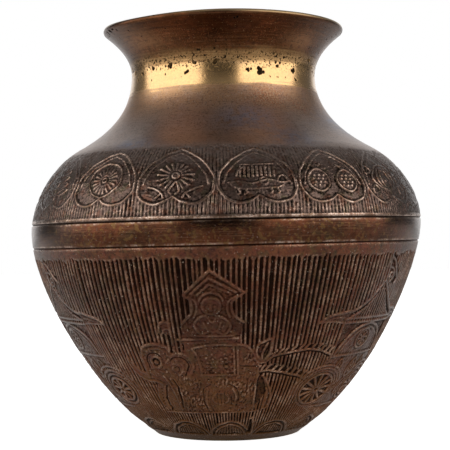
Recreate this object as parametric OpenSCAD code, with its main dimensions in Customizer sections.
// Lota: a hand-made brass water pot, built up from raised shells that are
// brazed together and strapped round the belly.
//
// Every piece is a turned form about the Z axis. The pot stands on Z = 0.
// The outside of the wall is one curve, foot to lip, made of four Bezier
// spans. Each shell is the part of that wall between two seams.

/* [Overall] */
// Height from the standing face to the top of the lip
height = 152; // [146:1:160]
// Wall thickness of the raised shells
wall = 2; // [1.6:0.1:2.4]

/* [Body] */
// Outside radius at the belly, the widest place
belly_r = 73.3; // [69:0.1:77]
// Height of the widest place
belly_z = 77; // [75:0.5:78.5]
// Outside radius half way up the shoulder
shoulder_r = 55.4; // [54:0.2:60]
// Height of that place on the shoulder
shoulder_z = 106; // [104:0.5:108]
// Slope of the shoulder there, in degrees from level
shoulder_slope = 29; // [25:1:34]

/* [Neck and mouth] */
// Outside radius of the throat, the narrowest place
throat_r = 34.6; // [33:0.1:37]
// Height of the throat
throat_z = 134; // [132:0.5:135.5]
// Outside radius of the lip
lip_r = 45.3; // [44:0.1:48]
// Slope of the flared mouth where it meets the lip, in degrees from level
lip_slope = 38.4; // [30:0.2:48]
// Radius of the rounded edge of the lip
lip_edge = 1.15; // [1.05:0.05:1.3]

/* [Foot] */
// Outside radius of the flat standing ring
foot_r = 27; // [26:0.2:29]
// Radius of the hole that the base disc closes
foot_hole_r = 20.5; // [18:0.5:21.5]
// Radius of the base disc
disc_r = 23.5; // [22.5:0.5:24]
// Thickness of the base disc
disc_t = 1.6; // [1.4:0.1:2]
// Rise of the dished middle of the base disc
disc_rise = 1.6; // [0.4:0.2:3]

/* [Girdle] */
// Lower edge of the girdle hoop
girdle_low = 70.2; // [69:0.1:71.4]
// Upper edge of the girdle hoop
girdle_high = 78.8; // [78.2:0.1:79]
// Thickness of the hoop, which lies flush in a recess
girdle_t = 0.8; // [0.5:0.1:0.9]
// Width across the V groove turned at each edge of the hoop
groove_w = 0.9; // [0.4:0.1:1]

/* [Chased fields] */
// Bottom of the field of petals, figures and fluting on the bowl
bowl_field_low = 3; // [2:0.2:4]
// Top of that field
bowl_field_high = 66.4; // [64:0.2:68]
// Bottom of the field of hearts on the shoulder
heart_field_low = 80; // [79.8:0.2:82]
// Top of the field of hearts
heart_field_high = 103.4; // [102:0.2:105]
// Depth that the chased ground is sunk below the plain wall
field_sink = 0.3; // [0.1:0.05:0.5]

/* [Seams] */
// Height of the lap where the bowl meets the shoulder
belly_seam_z = 73.6; // [72.6:0.2:74.4]
// Height of the spigot that the shoulder drops over
spigot_h = 4.4; // [3:0.2:5]
// Lower edge of the filler that joins the mouth to the shoulder
neck_seam_z = 135; // [133:0.2:137]
// Width of that filler on the outside
neck_seam_w = 1.6; // [1:0.2:2.4]
// How far the filler beads stand into the pot
bead_rise = 0.9; // [0.4:0.1:1.2]

/* [Hidden] */
$fn = 96;
STEPS = 16;       // straight steps in each Bezier span
BEYOND = 200;     // past the outside of the pot every way

// Where the heel's rounding ends and the wall begins.
heel_z = 0.9;
heel_r = foot_r + 1.3;
heel_slope = 33;

// How far each end of a Bezier span keeps its own direction.
heel_pull = 30;
belly_pull_down = 17;
belly_pull_up = 10;
shoulder_pull_down = 13;
shoulder_pull_up = 12.5;
throat_pull_down = 13.5;
throat_pull_up = 7.5;
lip_pull = 5;

lip_filed = 0.25;              // filed off the top of the lip to leave a flat land
lip_z = height - lip_edge + lip_filed;
neck_seam_high = neck_seam_z + neck_seam_w;
spigot_t = (wall - girdle_t) / 2;
spigot_top = belly_seam_z + spigot_h;
belly_bead_h = 3.2;            // height of the filler bead over the spigot's tip
ledge_t = 1;                   // brass left under the edge of the base disc
base_fillet = 1.8;             // width of filler that laps over the base disc

// Points are [radius, height].
function along(angle, length) = length * [cos(angle), sin(angle)];
heel = [heel_r, heel_z];
belly = [belly_r, belly_z];
shoulder = [shoulder_r, shoulder_z];
throat = [throat_r, throat_z];
lip = [lip_r - lip_edge, lip_z] + along(lip_slope - 90, lip_edge);

function bezier(p, t) =
    pow(1 - t, 3) * p[0] + 3 * pow(1 - t, 2) * t * p[1]
    + 3 * (1 - t) * t * t * p[2] + pow(t, 3) * p[3];
function span(p) = [for (i = [0 : STEPS - 1]) bezier(p, i / STEPS)];

outside = concat(
    span([heel, heel + along(heel_slope, heel_pull),
          belly - [0, belly_pull_down], belly]),
    span([belly, belly + [0, belly_pull_up],
          shoulder + along(-shoulder_slope, shoulder_pull_down), shoulder]),
    span([shoulder, shoulder - along(-shoulder_slope, shoulder_pull_up),
          throat - [0, throat_pull_down], throat]),
    span([throat, throat + [0, throat_pull_up],
          lip - along(lip_slope, lip_pull), lip]),
    [lip]);

// The outside moved square to itself, into the brass where depth is positive.
function heading(i) =
    outside[min(i + 1, len(outside) - 1)] - outside[max(i - 1, 0)];
function skin(depth) = [for (i = [0 : len(outside) - 1])
    let (h = heading(i) / norm(heading(i))) outside[i] + depth * [-h[1], h[0]]];
function radius_at(line, z) = lookup(z, [for (p = line) [p[1], p[0]]]);
function reversed(line) = [for (i = [len(line) - 1 : -1 : 0]) line[i]];

inside = skin(wall);

// Flat outlines, with X as radius and Y as height.

// Everything between two heights.
module level(low, high) {
    translate([0, low]) square([BEYOND, high - low]);
}

// The layer of the wall between two depths below its outside.
module layer(outer_depth, inner_depth) {
    polygon(concat(skin(outer_depth), reversed(skin(inner_depth))));
}

// The wall between two heights, with a chased field sunk in part of it.
module chased_wall(low, high, field_low, field_high) {
    intersection() {
        difference() {
            layer(0, wall);
            level(field_low, field_high);
        }
        level(low, high);
    }
    intersection() {
        layer(field_sink, wall);
        level(field_low, field_high);
    }
}

// The recess that the girdle fills, with the V grooves along its two edges.
module girdle_recess() {
    intersection() {
        layer(-girdle_t, girdle_t);
        level(girdle_low, girdle_high);
    }
    girdle_grooves();
}

module girdle_grooves() {
    for (z = [girdle_low, girdle_high])
        translate([radius_at(outside, z), z])
            rotate(45)
                square(groove_w / sqrt(2), center = true);
}

// The inner skin of the wall just above the belly seam.
module spigot() {
    intersection() {
        layer(wall - spigot_t, wall);
        level(belly_seam_z, spigot_top);
    }
}

// The flat foot and its rounded heel, with a rebate for the base disc.
module foot() {
    difference() {
        union() {
            polygon([[foot_hole_r, 0], [foot_r, 0], heel, inside[0],
                     [inside[0][0] - wall / 2, wall], [foot_hole_r, wall]]);
            translate([foot_r, heel_z]) circle(heel_z);
        }
        translate([0, ledge_t]) square([disc_r, BEYOND]);
    }
}

// Pieces, from the top down.

module mouth_flare() {
    color("darkgoldenrod") rotate_extrude() intersection() {
        union() {
            layer(0, wall);
            translate([lip_r - lip_edge, lip_z]) circle(lip_edge);
        }
        level(neck_seam_high, height);
    }
}

// Filler right through the neck's wall, with a low bead on the inside.
module neck_braze() {
    middle = neck_seam_z + neck_seam_w / 2;
    bore_r = radius_at(inside, middle);
    color("goldenrod") rotate_extrude() {
        intersection() {
            layer(0, wall);
            level(neck_seam_z, neck_seam_high);
        }
        polygon([[bore_r + wall / 2, neck_seam_z], [bore_r + wall / 2, neck_seam_high],
                 [bore_r, neck_seam_high], [bore_r - bead_rise / 2, middle],
                 [bore_r, neck_seam_z]]);
    }
}

module shoulder_shell() {
    color("saddlebrown") rotate_extrude() difference() {
        chased_wall(belly_seam_z, neck_seam_z, heart_field_low, heart_field_high);
        spigot();
        girdle_recess();
    }
}

module girdle_hoop() {
    color("sienna") rotate_extrude() difference() {
        intersection() {
            layer(0, girdle_t);
            level(girdle_low, girdle_high);
        }
        girdle_grooves();
    }
}

// A low bead over the tip of the spigot, inside the pot.
module belly_braze() {
    inner_r = radius_at(inside, spigot_top);
    low = spigot_top - belly_bead_h / 2;
    high = spigot_top + belly_bead_h / 2;
    color("goldenrod") rotate_extrude() difference() {
        polygon([[inner_r + wall / 2, low], [inner_r + wall / 2, high],
                 [inner_r, high], [inner_r - bead_rise, spigot_top], [inner_r, low]]);
        layer(0, wall);
    }
}

module bowl_shell() {
    color("saddlebrown") rotate_extrude() {
        difference() {
            chased_wall(heel_z, belly_seam_z, bowl_field_low, bowl_field_high);
            girdle_recess();
        }
        spigot();
        foot();
    }
}

// A disc whose middle is dished up, clear of what the pot stands on.
module base_disc() {
    rim_w = 5;                 // flat part that lies on the ledge
    waves = 8;                 // straight steps in the dish
    dish_r = disc_r - rim_w;
    dish = [for (i = [0 : waves])
        [dish_r * (1 - i / waves), disc_rise * (1 - cos(180 * i / waves)) / 2]];
    color("peru") translate([0, 0, ledge_t]) rotate_extrude()
        polygon(concat([[disc_r, disc_t], [disc_r, 0]], dish,
                       reversed([for (p = dish) p + [0, disc_t]])));
}

// Filler in the corner over the edge of the base disc.
module base_braze() {
    top = ledge_t + disc_t;
    fillet_top = top + base_fillet / 2;
    color("goldenrod") rotate_extrude() difference() {
        polygon([[disc_r - base_fillet, top], [disc_r, fillet_top],
                 [radius_at(inside, fillet_top) + wall / 2, fillet_top],
                 [inside[0][0], wall], [disc_r, wall], [disc_r, top]]);
        layer(0, wall);
        foot();
    }
}

mouth_flare();
neck_braze();
shoulder_shell();
girdle_hoop();
belly_braze();
bowl_shell();
base_disc();
base_braze();
